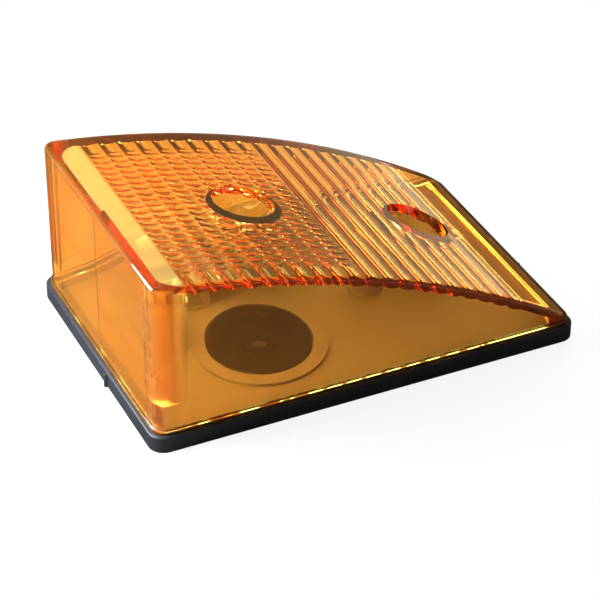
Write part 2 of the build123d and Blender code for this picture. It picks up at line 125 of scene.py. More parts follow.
class OpticSettings(bpy.types.PropertyGroup):
    """Ribs and cells inside the lens, and its amber."""

    rib_pitch: length("Rib pitch", "Spacing of the crown's ribs", 5.85)
    rib_depth: length("Rib depth", "How far the crown's ribs stand in", 0.65)
    rib_start: length("Rib start", "First rib, from the tall end", 12.2)
    rib_end: length("Rib end", "End of the ribs, from the tall end", 127.0)
    cell_pitch: length("Cell pitch", "Spacing of the cross grooves", 3.45)
    cell_depth: length("Cell depth", "How far a cell swells over its rib", 0.45)
    cell_stop: length("Cell stop", "End of the cells, from the tall end", 70.0)
    back_pitch: length("Back rib pitch", "Spacing of the back wall's ribs", 8.0)
    back_depth: length("Back rib depth", "How far the back wall's ribs stand in", 0.7)
    ior: number("IOR", "Refractive index of the lens", 1.49)
    amber: colour("Amber", "Colour that the lens lets through", (0.996, 0.735, 0.30))
    clear: colour("Clear tint", "Tint of the lens's surface", (1.0, 0.94, 0.62))
    haze: colour("Haze", "Colour of the lens's slight milkiness", (1.0, 0.50, 0.10))
    cloudiness: number("Cloudiness", "Share of milkiness in the lens's surface", 0.038)
    frost: number("Frost", "Roughness of the thick front corner", 0.25)
    density: number("Amber density", "Strength of the amber, per metre", 330.0)


class BaseSettings(bpy.types.PropertyGroup):
    """Rubber rim, base tray and cable grommet."""

    lip: length("Rim lip", "How far the rim stands out beyond the lens", 1.1)
    corner: length("Rim corner", "Radius of the rim's corners", 5.0)
    edge: length("Rim edge", "Rounding of the rim's upper edge", 0.7)
    foot: length("Foot height", "Thickness of the rim under the tray", 1.0)
    plate: length("Plate", "Thickness of the tray's floor", 1.8)
    kerb_top: length("Kerb top", "Height of the kerb round the tray, above the mounting face", 5.2)
    mount_one: length("First mount", "X of the first mounting insert", -50.0)
    mount_two: length("Second mount", "X of the second mounting insert", 20.0)
    grommet_x: length("Grommet X", "X of the cable grommet", -22.0)
    grommet_y: length("Grommet Y", "Y of the cable grommet", -11.5)
    ring: length("Ring", "Diameter of the tray's raised ring round the grommet", 43.0)
    ring_height: length("Ring height", "Height of that ring", 0.9)
    flange: length("Flange", "Diameter of the grommet's flanges", 33.0)
    flange_height: length("Flange height", "Thickness of the upper flange", 1.0)
    hole: length("Hole", "Diameter of the tray's hole for the grommet", 28.0)
    well: length("Well", "Diameter of the grommet's well", 24.0)
    cable: length("Cable hole", "Diameter of the cable hole", 6.0)


class FinishSettings(bpy.types.PropertyGroup):
    """Colours of the other pieces."""

    rubber: colour("Rubber", "Rim and seals", (0.012, 0.0135, 0.017))
    grommet: colour("Grommet", "Cable grommet", (0.004, 0.004, 0.004))
    plate: colour("Base plate", "Floor of the lamp", (0.27, 0.27, 0.24))
    steel: colour("Steel", "Zinc-plated pieces", (0.62, 0.62, 0.60))
    brass: colour("Brass", "Inserts, pin and bulb cap", (0.74, 0.53, 0.22))
    board: colour("Board", "Insulating disc and bush", (0.16, 0.075, 0.035))
    seal: colour("Black glass", "Plug in the bulb's cap", (0.02, 0.02, 0.025))
    solder: colour("Solder", "Bulb's end contact", (0.52, 0.52, 0.50))
    tungsten: colour("Tungsten", "Filament and its posts", (0.12, 0.12, 0.125))


class StageSettings(bpy.types.PropertyGroup):
    """Camera, lights, floor and sky."""

    eye: spot("Eye", "Camera place", (-0.2776, -0.5878, 0.4546))
    aim: spot("Aim", "Point that the camera looks at", (-0.0058, -0.0079, 0.0120))
    roll: angle("Roll", "Camera roll", 0.15)
    focal: number("Focal length", "Lens on a 36 mm sensor", 150.3)
    side_power: number("Side light", "Power in watts of the softbox beyond the tall end", 1.4)
    top_power: number("Top light", "Power in watts of the softbox overhead", 3.0)
    low_power: number("Low light", "Power in watts of the softbox behind the low end", 0.45)
    back_power: number("Back light", "Power in watts of the cool softbox far behind", 6.0)
    warm: colour("Warm", "Colour of floor and sky in reflections", (1.0, 0.82, 0.52))
    ambient: number("Ambient", "Sky's strength for scattered light", 0.28)


class Socket:
    """A node socket that takes part in arithmetic, for shader and geometry trees."""

    def __init__(self, tree, out):
        self.tree = tree
        self.out = out

    def node(self, kind, *values, output=0, **fields):
        """A new node with its inputs set or linked in order. None leaves an input as it is."""
        made = self.tree.nodes.new(kind)
        for name, value in fields.items():
            setattr(made, name, value)
        for slot, value in zip(made.inputs, values):
            link_or_set(self.tree, slot, value)
        return Socket(self.tree, made.outputs[output])

    def math(self, operation, *values):
        """A Math node."""
        return self.node("ShaderNodeMath", *values, operation=operation)

    def __add__(self, other):
        return self.math("ADD", self, other)

    def __radd__(self, other):
        return self.math("ADD", other, self)

    def __sub__(self, other):
        return self.math("SUBTRACT", self, other)

    def __rsub__(self, other):
        return self.math("SUBTRACT", other, self)

    def __mul__(self, other):
        return self.math("MULTIPLY", self, other)

    def __rmul__(self, other):
        return self.math("MULTIPLY", other, self)

    def __truediv__(self, other):
        return self.math("DIVIDE", self, other)

    def __gt__(self, other):
        return self.math("GREATER_THAN", self, other)

    def __lt__(self, other):
        return self.math("LESS_THAN", self, other)

    def fract(self):
        return self.math("FRACT", self)


def link_or_set(tree, slot, value):
    """Link a socket to an input, or set the input's own value."""
    if isinstance(value, Socket):
        tree.links.new(value.out, slot)
    elif value is not None:
        slot.default_value = value


def feed(node, **values):
    """Link or set a node's inputs by name, with underscores for spaces."""
    for key, value in values.items():
        link_or_set(node.id_data, node.inputs[key.replace("_", " ")], value)


def new_material(name, **constants):
    """Principled material with constant inputs."""
    material = bpy.data.materials.new(name)
    material.use_nodes = True
    shader = material.node_tree.nodes["Principled BSDF"]
    feed(shader, **constants)
    return material, shader


def mix_surface(tree, factor, one, two):
    """Show a mix of two shaders on a material's surface."""
    mix = tree.nodes.new("ShaderNodeMixShader")
    link_or_set(tree, mix.inputs[0], factor)
    tree.links.new(one.outputs[0], mix.inputs[1])
    tree.links.new(two.outputs[0], mix.inputs[2])
    tree.links.new(mix.outputs[0], tree.nodes["Material Output"].inputs["Surface"])


def object_place(tree):
    """Object coordinates of the shaded point."""
    node = tree.nodes.new("ShaderNodeTexCoord")
    return Socket(tree, node.outputs["Object"])


def parts(vector):
    """X, Y and Z of a vector."""
    split = vector.node("ShaderNodeSeparateXYZ", vector).out.node
    return [Socket(vector.tree, out) for out in split.outputs]


def noise(place, scale, detail=3.0):
    """Noise between 0 and 1 at a scale per metre."""
    made = place.node("ShaderNodeTexNoise", place)
    feed(made.out.node, Scale=scale, Detail=detail)
    return made


def tint(place, factor, dark, light):
    """Colour between two, by a factor."""
    made = place.node("ShaderNodeMix", output=2, data_type="RGBA")
    node = made.out.node
    link_or_set(place.tree, node.inputs[0], factor)
    link_or_set(place.tree, node.inputs[6], (*dark, 1.0))
    link_or_set(place.tree, node.inputs[7], (*light, 1.0))
    return made


def bump(place, height, strength, distance):
    """Normal bumped by a height."""
    made = place.node("ShaderNodeBump")
    feed(made.out.node, Strength=strength, Distance=distance, Height=height)
    return made


def varied(name, rgb, spread, roughness, uneven, grain, relief, **constants):
    """Finish whose colour, roughness and surface vary a little over the piece."""
    material, shader = new_material(name, **constants)
    place = object_place(material.node_tree)
    cloud = noise(place, grain)
    dark = [channel * (1 - spread) for channel in rgb]
    light = [min(channel * (1 + spread), 1.0) for channel in rgb]
    fine = noise(place, grain * FINE_GRAIN, FINE_DETAIL)
    feed(
        shader,
        Base_Color=tint(place, cloud, dark, light),
        Roughness=cloud * (2 * uneven) + (roughness - uneven),
        Normal=bump(place, fine, relief, GRAIN_DEPTH),
    )
    return material


def amber_material(settings):
    """Clear amber: glass coloured by the length of the light's way through it, with a little haze."""
    material, shader = new_material("amber", Transmission_Weight=1.0, IOR=settings.ior)
    tree = material.node_tree
    place = object_place(tree)
    cloud = noise(place, GLOSS_SCALE)
    ripple = noise(place, RIPPLE_SCALE, 1.0)
    x, y, z = parts(place)
    corner = (x < FROST_END) * (y < FROST_SIDE) * (z < FROST_TOP)
    feed(
        shader,
        Base_Color=(*settings.clear, 1.0),
        Roughness=cloud * GLOSS_SPREAD + GLOSS + corner * settings.frost,
        Normal=bump(place, ripple, RIPPLE, RIPPLE_DEPTH),
    )
    haze = tree.nodes.new("ShaderNodeBsdfPrincipled")
    feed(haze, Base_Color=(*settings.haze, 1.0), Roughness=HAZE_ROUGHNESS)
    mix_surface(tree, cloud * settings.cloudiness + settings.cloudiness / 2, shader, haze)
    absorption = tree.nodes.new("ShaderNodeVolumeAbsorption")
    feed(absorption, Color=(*settings.amber, 1.0), Density=settings.density)
    tree.links.new(absorption.outputs[0], tree.nodes["Material Output"].inputs["Volume"])
    return material


def mesh_piece(name, points, faces, material):
    """Closed mesh piece at the origin, with its faces turned outwards."""
    mesh = bpy.data.meshes.new(name)
    mesh.from_pydata(points, [], faces)
    work = bmesh.new()
    work.from_mesh(mesh)
    bmesh.ops.recalc_face_normals(work, faces=work.faces)
    work.to_mesh(mesh)
    work.free()
    mesh.materials.append(material)
    piece = bpy.data.objects.new(name, mesh)
    bpy.context.scene.collection.objects.link(piece)
    return piece


def shade(mesh, sharp_degrees):
    """Smooth shading, with edges sharper than an angle kept."""
    mesh.polygons.foreach_set("use_smooth", [True] * len(mesh.polygons))
    mesh.set_sharp_from_angle(angle=radians(sharp_degrees))


def finish_node(node, material):
    """Give a CAD node's object one material."""
    piece = bpy.data.objects[node]
    for slot in piece.material_slots:
        slot.material = material


def span(low, high, step):
    """Even places from low to high, about a step apart."""
    count = max(1, ceil((high - low) / step - 1e-6))
    return [low + (high - low) * i / count for i in range(count + 1)]


class Outline:
    """Rounded rectangle in plan, sampled alike at every level: points with their outward normals."""

    corner_steps = 8

    def __init__(self, along, across):
        self.along = along
        self.across = across

    def points(self, x0, x1, y0, y1, left, right):
        """Points anticlockwise from the front left, for a box in plan and the corner radii of its ends."""
        xs = [x0 + left + (x1 - right - x0 - left) * t for t in self.along]
        rows = [(x, y0, 0.0, -1.0) for x in xs]
        rows += self.corner(x1 - right, y0 + right, right, -90)
        rows += [(x1, y0 + right + (y1 - y0 - 2 * right) * t, 1.0, 0.0) for t in self.across]
        rows += self.corner(x1 - right, y1 - right, right, 0)
        rows += [(x, y1, 0.0, 1.0) for x in reversed(xs)]
        rows += self.corner(x0 + left, y1 - left, left, 90)
        rows += [(x0, y0 + left + (y1 - y0 - 2 * left) * t, -1.0, 0.0) for t in reversed(self.across)]
        rows += self.corner(x0 + left, y0 + left, left, 180)
        return rows

    def corner(self, x, y, radius, start):
        """Points within one corner, without its ends."""
        rows = []
        for step in range(1, self.corner_steps):
            turn = radians(start + 90 * step / self.corner_steps)
            rows.append((x + radius * cos(turn), y + radius * sin(turn), cos(turn), sin(turn)))
        return rows


def fill(rings, points):
    """Triangles that fill the first ring around the others by way of loose points, as indices."""
    flat = [p for ring in rings for p in ring] + points
    edges = []
    owner = []
    start = 0
    for index, ring in enumerate(rings):
        count = len(ring)
        edges += [(start + i, start + (i + 1) % count) for i in range(count)]
        owner += [index] * count
        start += count
    owner += [None] * len(points)
    found = delaunay_2d_cdt([Vector(p) for p in flat], edges, [], 0, 1e-9)
    faces, sources = found[2:4]
    source = [ids[0] for ids in sources]
    kept = []
    for face in faces:
        ids = [source[i] for i in face]
        owners = {owner[i] for i in ids}
        if len(owners) == 1 and None not in owners:
            ring = owners.pop()
            middle = sum((Vector(flat[i]) for i in ids), Vector((0, 0))) / 3
            if ring > 0 or not inside(middle, rings[0]):
                continue
        kept.append(ids)
    return kept


def inside(point, ring):
    """True if a point in plan lies within a ring of points."""
    hit = False
    for (x1, y1), (x2, y2) in zip(ring, ring[1:] + ring[:1]):
        if (y1 > point.y) != (y2 > point.y) and point.x < x1 + (x2 - x1) * (point.y - y1) / (y2 - y1):
            hit = not hit
    return hit


class RingMesh:
    """Closed mesh made of rings of points."""

    ring_steps = 64

    def __init__(self):
        self.points = []
        self.faces = []

    def add(self, rows):
        """Add points and give their indices."""
        start = len(self.points)
        self.points += rows
        return list(range(start, len(self.points)))

    def bridge(self, one, two):
        """Quads between two rings with the same count."""
        count = len(one)
        for i in range(count):
            j = (i + 1) % count
            self.faces.append((one[i], one[j], two[j], two[i]))

    def chain(self, rings):
        """Quads from ring to ring."""
        for one, two in zip(rings, rings[1:]):
            self.bridge(one, two)

    def turns(self):
        """Even angles round a circle."""
        return [2 * pi * step / self.ring_steps for step in range(self.ring_steps)]

    def circle(self, x, y, radius, z):
        """Level ring about an upright axis."""
        return self.add([(x + radius * cos(turn), y + radius * sin(turn), z) for turn in self.turns()])

    def plan(self, ids):
        """X and Y of points."""
        return [self.points[i][:2] for i in ids]

    def cap(self, *rings, grid=()):
        """Fill the first ring in plan, around the others and by way of a grid's points."""
        order = [i for ids in (*rings, grid) for i in ids]
        for face in fill([self.plan(ids) for ids in rings], self.plan(grid)):
            self.faces.append([order[i] for i in face])


class LensMaker(RingMesh):
    """Lens as one closed mesh: rings from the hollow's roof down, round the foot and up to the crown."""

    edge_steps = 6
    low_gap = 2.2 * MM
    relief = 8.5 * MM
    cell_margin = 5.0 * MM
    back_start = 9.0 * MM
    back_stop = 105.0 * MM
    rib_steps = 8
    cell_steps = 6
    low_corner = 1.0 * MM
    foot_edge = 0.25 * MM
    pad_reach = 1.0 * MM
    pad_edge = 3.0 * MM
    cone_rounds = 12
    plain_step = 0.8 * MM
    crown_step_x = 1.5 * MM
    crown_step_y = 3.0 * MM
    roof_clear = 0.35 * MM
    crown_clear = 0.6 * MM
    hair = 0.02 * MM
    pad_clear = 0.2 * MM
    sill = 0.3 * MM
    edge_share = 0.8

    def __init__(self, lens, optics):
        super().__init__()
        self.lens = lens
        self.optics = optics
        self.tall_end = -lens.length / 2
        self.x0 = self.tall_end + lens.flange_reach
        self.x1 = lens.length / 2 - lens.flange_reach
        self.y1 = lens.width / 2 - lens.flange_reach
        rise = lens.low - lens.tall
        run = self.x1 - self.x0
        chord = sqrt(run**2 + rise**2)
        drop = sqrt(lens.crown**2 - (chord / 2) ** 2)
        self.centre_x = drop * rise / chord
        self.centre_z = lens.seat + (lens.tall + lens.low) / 2 - drop * run / chord
        self.inner = lens.crown - lens.wall
        self.first_rib = self.angle_at(self.tall_end + optics.rib_start)
        self.rib_step = optics.rib_pitch / self.inner
        self.rib_count = self.ribs_to(optics.rib_end)
        self.cell_ribs = self.ribs_to(optics.cell_stop)
        reach = self.y1 - lens.wall - self.cell_margin
        self.cell_count = int(2 * reach / optics.cell_pitch)

    def angle_at(self, x):
        """Angle about the crown's centre at x, on the hollow's roof."""
        return asin((x - self.centre_x) / self.inner)

    def ribs_to(self, distance):
        """Whole ribs up to a distance from the tall end."""
        return int((self.angle_at(self.tall_end + distance) - self.first_rib) / self.rib_step)

    def crown_at(self, x):
        """Height of the crown at x."""
        return self.centre_z + sqrt(self.lens.crown**2 - (x - self.centre_x) ** 2)

    def roof_at(self, x):
        """Height of the hollow's roof at x, without its ribs."""
        return self.centre_z + sqrt(self.inner**2 - (x - self.centre_x) ** 2)

    def rib_places(self, low, high):
        """X places across the hollow, with every rib's edges among them."""
        places = []
        for i in range(self.rib_count * self.rib_steps + 1):
            turn = self.first_rib + self.rib_step * i / self.rib_steps
            places.append(self.centre_x + self.inner * sin(turn))
        before = span(low, places[0], self.plain_step)[:-1]
        after = span(places[-1], high, self.plain_step)[1:]
        return before + places + after

    def cell_places(self):
        """Y places across the hollow, with every cell's edges among them."""
        half = self.cell_count * self.optics.cell_pitch / 2
        middle = span(-half, half, self.optics.cell_pitch / self.cell_steps)
        edge = self.y1 - self.lens.wall
        before = span(-edge, -half, self.plain_step)[:-1]
        after = span(half, edge, self.plain_step)[1:]
        return before + middle + after

    def cone_ring(self, x, bottom, radius, height_at):
        """Ring where a tapered tube about a pocket's axis meets a roof."""
        slope = tan(self.lens.pocket_draft)
        rows = []
        for turn in self.turns():
            reach = radius
            for _ in range(self.cone_rounds):
                reach = radius + (height_at(x + reach * cos(turn)) - bottom) * slope
            px = x + reach * cos(turn)
            rows.append((px, reach * sin(turn), height_at(px)))
        return rows

    def back_bow(self, x):
        """How far the back wall's ribs stand in at x."""
        optics = self.optics
        along = (x - self.tall_end - self.back_start) / optics.back_pitch
        if along < 0 or along > (self.back_stop - self.back_start) / optics.back_pitch:
            return 0.0
        across = along % 1.0
        return optics.back_depth * 4 * across * (1 - across)

    def roof(self, ring, pocket_rings, xs, ys, height_at, clear):
        """Fill a roof between its edge and the pockets, by way of a grid, and give the grid's indices."""
        rings = [self.plan(ids) for ids in (ring, *pocket_rings)]
        low_x = min(p[0] for p in rings[0]) + clear
        high_x = max(p[0] for p in rings[0]) - clear
        bounds = []
        for hole in rings[1:]:
            middle = sum(p[0] for p in hole) / len(hole)
            bounds.append((middle, max(abs(p[0] - middle) for p in hole) + clear))
        loose = []
        for x in xs:
            if not low_x < x < high_x:
                continue
            front, back = self.edge_at(rings[0], x)
            for y in ys:
                if front + clear < y < back - clear and all((x - m) ** 2 + y**2 > r**2 for m, r in bounds):
                    loose.append((x, y))
        grid = self.add([(x, y, height_at(x)) for x, y in loose])
        self.cap(ring, *pocket_rings, grid=grid)
        return grid

    def edge_at(self, ring, x):
        """Front and back limits of a ring in plan at x."""
        hits = []
        for (xa, ya), (xb, yb) in zip(ring, ring[1:] + ring[:1]):
            if (xa > x) != (xb > x):
                hits.append(ya + (yb - ya) * (x - xa) / (xb - xa))
        return min(hits), max(hits)

    def build(self, material):
        """Make the lens object, its ribs still to come."""
        lens = self.lens
        seat = lens.seat
        hollow_x0 = self.x0 + lens.wall
        hollow_x1 = self.centre_x + sqrt(self.inner**2 - (seat + self.low_gap - self.centre_z) ** 2)
        hollow_y = self.y1 - lens.wall
        hollow_corner = lens.inner_corner
        xs = self.rib_places(hollow_x0, hollow_x1)
        ys = self.cell_places()
        side_from = hollow_x0 + hollow_corner
        side_to = hollow_x1 - self.low_corner
        along = [(x - side_from) / (side_to - side_from) for x in xs if side_from < x < side_to]
        end_to = hollow_y - hollow_corner
        hair = self.hair
        pad_ys = [y for y in ys if abs(y) < end_to and abs(y - self.pad_edge) > self.pad_clear]
        pad_ys = sorted([*pad_ys, self.pad_edge - hair, self.pad_edge + hair])
        across = [(y + end_to) / (2 * end_to) for y in pad_ys]
        outline = Outline([0.0, *along, 1.0], [0.0, *across, 1.0])

        hollow = []
        relief = []
        step_z = []
        pad_x = hollow_x0 + self.pad_reach
        ends = (hollow_x0, hollow_x1, -hollow_y, hollow_y)
        for x, y, nx, ny in outline.points(*ends, hollow_corner, self.low_corner):
            in_corner = x < side_from and abs(y) > end_to
            square = hollow_corner * (1 / max(abs(nx), abs(ny)) - 1) + hair
            if ny > 0.5 and not in_corner:
                y -= self.back_bow(x)
            inner_x = max(x, pad_x) if y < self.pad_edge else x
            hollow.append((inner_x, y))
            if in_corner:
                relief.append((x + nx * square, y + ny * square))
                step_z.append(seat + self.relief)
            else:
                relief.append((inner_x + nx * hair, y + ny * hair))
                step_z.append(seat + self.sill)
        reach = lens.flange_reach
        foot_ends = (self.x0 - reach, self.x1 + reach, -self.y1 - reach, self.y1 + reach)
        foot = outline.points(*foot_ends, lens.corner + reach, lens.corner + reach)
        wall = outline.points(self.x0, self.x1, -self.y1, self.y1, lens.corner, lens.corner)
        top = seat + lens.flange_height
        soft = self.foot_edge

        roof_ring = self.add([(x, y, self.roof_at(x)) for x, y in hollow])
        step_in = self.add([(h[0], h[1], z) for h, z in zip(hollow, step_z)])
        step_out = self.add([(r[0], r[1], z) for r, z in zip(relief, step_z)])
        step_low = self.add([(r[0], r[1], seat) for r in relief])
        foot_low = self.add([(x, y, seat) for x, y, _, _ in foot])
        foot_side = self.add([(x, y, top - soft) for x, y, _, _ in foot])
        foot_top = self.add([(x - nx * soft, y - ny * soft, top) for x, y, nx, ny in foot])
        wall_low = self.add([(x, y, top) for x, y, _, _ in wall])
        rings = [roof_ring, step_in, step_out, step_low, foot_low, foot_side, foot_top, wall_low]
        rounds = [min(lens.edge, self.edge_share * (self.crown_at(x) - top)) for x, _, _, _ in wall]
        for step in range(self.edge_steps + 1):
            turn = pi / 2 * step / self.edge_steps
            rows = []
            for (x, y, nx, ny), r in zip(wall, rounds):
                px = x - nx * r * (1 - cos(turn))
                py = y - ny * r * (1 - cos(turn))
                rows.append((px, py, self.crown_at(px) - r * (1 - sin(turn))))
            rings.append(self.add(rows))
        self.chain(rings)

        tubes = []
        mouths = []
        for place in (lens.tall_pocket, lens.low_pocket):
            x = self.tall_end + place
            floor = self.crown_at(x) - lens.pocket_depth
            under = floor - lens.pocket_floor
            seat_r = lens.pocket_seat / 2
            tube_r = seat_r + lens.pocket_wall
            hole_r = lens.screw_hole / 2
            tube = self.add(self.cone_ring(x, under, tube_r, self.roof_at))
            mouth = self.add(self.cone_ring(x, floor, seat_r, self.crown_at))
            ways = [
                tube,
                self.circle(x, 0.0, tube_r, under),
                self.circle(x, 0.0, hole_r, under),
                self.circle(x, 0.0, hole_r, floor),
                self.circle(x, 0.0, seat_r, floor),
                mouth,
            ]
            self.chain(ways)
            tubes.append(tube)
            mouths.append(mouth)
        roof_grid = self.roof(roof_ring, tubes, xs, ys, self.roof_at, self.roof_clear)
        crown_xs = span(self.x0, self.x1, self.crown_step_x)
        crown_ys = span(-self.y1, self.y1, self.crown_step_y)
        self.roof(rings[-1], mouths, crown_xs, crown_ys, self.crown_at, self.crown_clear)

        piece = mesh_piece("lens_moulding", self.points, self.faces, material)
        weight = piece.data.attributes.new("optic", "FLOAT", "POINT")
        for i in [*roof_ring, *roof_grid, *(i for tube in tubes for i in tube)]:
            weight.data[i].value = 1.0
        return piece


def optics_tree(values):
    """Geometry nodes that press ribs, and cells on the tall half's ribs, into the points marked as optic."""
    tree = bpy.data.node_groups.new("crown_optics", "GeometryNodeTree")
    face = tree.interface
    face.new_socket("Geometry", in_out="INPUT", socket_type="NodeSocketGeometry")
    for name, value in values.items():
        kind = "Float" if isinstance(value, float) else "Material"
        face.new_socket(name, in_out="INPUT", socket_type="NodeSocket" + kind)
    face.new_socket("Geometry", in_out="OUTPUT", socket_type="NodeSocketGeometry")
    entry = tree.nodes.new("NodeGroupInput")
    given = {out.name: Socket(tree, out) for out in entry.outputs if out.name}
    start = given["Geometry"]
    position = start.node("GeometryNodeInputPosition")
    x, y, z = parts(position)
    dx = x - given["Centre X"]
    dz = z - given["Centre Z"]
    distance = x.math("SQRT", dx * dx + dz * dz)
    rib = (x.math("ARCTAN2", dx, dz) - given["First Rib"]) / given["Rib Step"]
    across = rib.fract()
    bow = 4.0 * (across * (1.0 - across)) * (rib > 0.0) * (rib < given["Rib Count"])
    cell = y / given["Cell Pitch"] + given["Cell Count"] / 2.0
    along = cell.fract()
    celled = (cell > 0.0) * (cell < given["Cell Count"]) * (rib < given["Cell Ribs"])
    swell = 4.0 * (along * (1.0 - along)) * celled
    depth = given["Rib Depth"] - celled * given["Cell Depth"] + swell * given["Cell Depth"]
    weight = x.node("GeometryNodeInputNamedAttribute", "optic", data_type="FLOAT")
    press = bow * depth * weight / distance * -1.0
    offset = x.node("ShaderNodeCombineXYZ", dx * press, 0.0, dz * press)
    moved = x.node("GeometryNodeSetPosition")
    feed(moved.out.node, Geometry=start, Offset=offset)
    real = x.node("GeometryNodeRealizeInstances", moved)
    dressed = x.node("GeometryNodeSetMaterial")
    feed(dressed.out.node, Geometry=real, Material=given["Material"])
    leave = tree.nodes.new("NodeGroupOutput")
    tree.links.new(dressed.out, leave.inputs[0])
    return tree


def run_tree(piece, tree, values):
    """Give a piece the result of a geometry tree as its plain mesh."""
    modifier = piece.modifiers.new(tree.name, "NODES")
    modifier.node_group = tree
    for item in tree.interface.items_tree:
        if item.in_out == "INPUT" and item.name in values:
            modifier[item.identifier] = values[item.name]
    depsgraph = bpy.context.evaluated_depsgraph_get()
    made = bpy.data.meshes.new_from_object(piece.evaluated_get(depsgraph))
    piece.modifiers.clear()
    piece.data = made


class BaseMaker:
    """Builds the rim, the tray and the grommet from the base's settings, round the lens."""

    edge_steps = 5
    foot_reach = 9.0 * MM
    side = 2.4 * MM
    cover = 3.4 * MM
    nib = 0.9 * MM
    nib_place = -9.0 * MM
    kerb = 2.2 * MM
    mount_bore = 6.8 * MM
    mount_depth = 7.0 * MM
    screw_bore = 6.6 * MM
    gap = 0.05 * MM
    boss = 2.2 * MM
    mount_cap = 1.5 * MM
    lower_flange = 0.6 * MM
    ring_gap = 0.4 * MM
    bevel = 0.4 * MM
    membrane = 1.0 * MM
    collar = 2.0 * MM
    collar_wall = 2.0 * MM
    nib_steps = 8
    nib_sill = 0.05 * MM
    least_corner = 0.25
    end_normal = 0.99

    def __init__(self, base, lens):
        self.base = base
        self.lens = lens
        self.floor = base.foot + base.plate
        self.half_x = lens.length / 2 + base.lip
        self.half_y = lens.width / 2 + base.lip

    def ring(self, mesh, outline, inset, z, bulge=0.0):
        """Ring of the rim's outline, set in from it, with the nibs' bulge on its ends."""
        base = self.base
        x = self.half_x - inset
        y = self.half_y - inset
        corner = max(base.corner - inset, base.corner * self.least_corner)
        rows = []
        for px, py, nx, _ in outline.points(-x, x, -y, y, corner, corner):
            out = sqrt(max(0.0, bulge**2 - (py - self.nib_place) ** 2)) if abs(nx) > self.end_normal else 0.0
            rows.append((px + nx * out, py, z))
        return mesh.add(rows)

    def rim(self, material):
        """Rubber channel round the tray's edge, with a nib at each end."""
        base = self.base
        top = self.lens.seat
        mesh = RingMesh()
        end = self.half_y - base.corner
        nib_ys = span(self.nib_place - self.nib, self.nib_place + self.nib, self.nib / self.nib_steps)
        outline = Outline([0.0, 1.0], [0.0, *((y + end) / (2 * end) for y in nib_ys), 1.0])
        bend = top - base.edge
        rings = [
            self.ring(mesh, outline, 0.0, 0.0, self.nib),
            self.ring(mesh, outline, 0.0, bend - self.nib_sill, self.nib),
        ]
        for step in range(self.edge_steps + 1):
            turn = pi / 2 * step / self.edge_steps
            inset = base.edge * (1 - cos(turn))
            rings.append(self.ring(mesh, outline, inset, bend + base.edge * sin(turn)))
        inner = (
            (self.cover, top), (self.cover, self.floor), (self.side, self.floor),
            (self.side, base.foot), (self.foot_reach, base.foot), (self.foot_reach, 0.0),
        )
        rings += [self.ring(mesh, outline, inset, z) for inset, z in inner]
        mesh.chain([*rings, rings[0]])
        return mesh_piece("rim_moulding", mesh.points, mesh.faces, material)

    def tray(self, material, screw_x, screw_top):
        """Pale tray: floor with a kerb, bosses for the inserts and a raised ring round the grommet."""
        base = self.base
        mesh = RingMesh()
        outline = Outline([0.0, 1.0], [0.0, 1.0])
        kerb_out = self.cover + self.gap
        kerb_in = kerb_out + self.kerb
        shelf = self.floor - self.gap
        side = self.side + self.gap
        profile = (
            (side, base.foot), (side, shelf), (kerb_out, shelf),
            (kerb_out, base.kerb_top), (kerb_in, base.kerb_top), (kerb_in, self.floor),
        )
        edge = [self.ring(mesh, outline, inset, z) for inset, z in profile]
        mesh.chain(edge)
        floor_holes = []
        under_holes = []
        mount_r = self.mount_bore / 2
        bore_top = base.foot + self.mount_depth
        for x in (base.mount_one, base.mount_two):
            foot = mesh.circle(x, 0.0, mount_r + self.boss, self.floor)
            top = mesh.circle(x, 0.0, mount_r + self.boss, bore_top + self.mount_cap)
            bore = mesh.circle(x, 0.0, mount_r, base.foot)
            bore_end = mesh.circle(x, 0.0, mount_r, bore_top)
            mesh.chain([foot, top])
            mesh.chain([bore, bore_end])
            mesh.cap(top)
            mesh.cap(bore_end)
            floor_holes.append(foot)
            under_holes.append(bore)
        screw_r = self.screw_bore / 2
        x, y = base.grommet_x, base.grommet_y
        clear_r = base.flange / 2 + self.ring_gap
        ring_top = self.floor + base.ring_height
        through = (
            ((screw_x, 0.0), (
                (screw_r + self.boss, self.floor), (screw_r + self.boss, screw_top),
                (screw_r, screw_top), (screw_r, base.foot),
            )),
            ((x, y), (
                (base.ring / 2, self.floor), (base.ring / 2, ring_top), (clear_r, ring_top),
                (clear_r, self.floor), (base.hole / 2, self.floor), (base.hole / 2, base.foot),
            )),
        )
        for (x, y), profile in through:
            rings = [mesh.circle(x, y, radius, z) for radius, z in profile]
            mesh.chain(rings)
            floor_holes.append(rings[0])
            under_holes.append(rings[-1])
        mesh.cap(edge[-1], *floor_holes)
        mesh.cap(edge[0], *under_holes)
        return mesh_piece("base_tray", mesh.points, mesh.faces, material)

    def grommet(self, material):
        """Dished rubber disc clipped into the tray's hole, with a collared hole for the cable."""
        base = self.base
        mesh = RingMesh()
        flange_r = base.flange / 2
        neck_r = base.hole / 2 - self.gap
        well_r = base.well / 2
        collar_r = base.cable / 2 + self.collar_wall
        top = self.floor + base.flange_height
        dish = base.foot + self.membrane
        profile = (
            (neck_r, base.foot), (neck_r, self.floor), (flange_r, self.floor), (flange_r, top - self.bevel),
            (flange_r - self.bevel, top), (well_r, top), (well_r, dish), (collar_r, dish),
            (collar_r, base.foot + self.collar), (base.cable / 2, base.foot + self.collar),
            (base.cable / 2, base.foot), (well_r, base.foot), (well_r, base.foot - self.lower_flange),
            (flange_r, base.foot - self.lower_flange), (flange_r, base.foot),
        )
        rings = [mesh.circle(base.grommet_x, base.grommet_y, radius, z) for radius, z in profile]
        mesh.chain([*rings, rings[0]])
        return mesh_piece("grommet_disc", mesh.points, mesh.faces, material)


